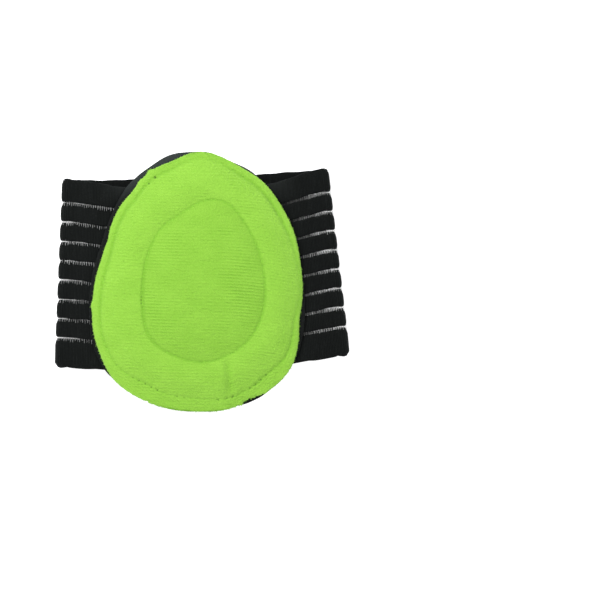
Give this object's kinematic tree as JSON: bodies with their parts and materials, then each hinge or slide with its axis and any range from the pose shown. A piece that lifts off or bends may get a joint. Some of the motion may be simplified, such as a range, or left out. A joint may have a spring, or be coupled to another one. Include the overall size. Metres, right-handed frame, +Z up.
{
  "type": "arch support sleeve",
  "caption": "Elastic loop for the midfoot with an egg-shaped quilted foam pad sewn over its ends, lying flat with the pad up.",
  "frame": {"origin": "on the table, under the middle of the sleeve's bounding box", "axes": "+X along the strip's flat width from its left fold to its right one, +Y along the pad from its wide end to its narrow end, +Z up from the table through the pad"},
  "size_m": [0.1186, 0.1036, 0.019],
  "materials": {
    "black_elastic": "matte ribbed elastic",
    "black_fabric": "smooth, slightly shiny cloth",
    "green_knit": "matte ribbed terry knit"
  },
  "bodies": {
    "root": {"elastic_band": "black_elastic", "pad_backing": "black_fabric", "pad_cover": "green_knit"}
  },
  "joints": []
}
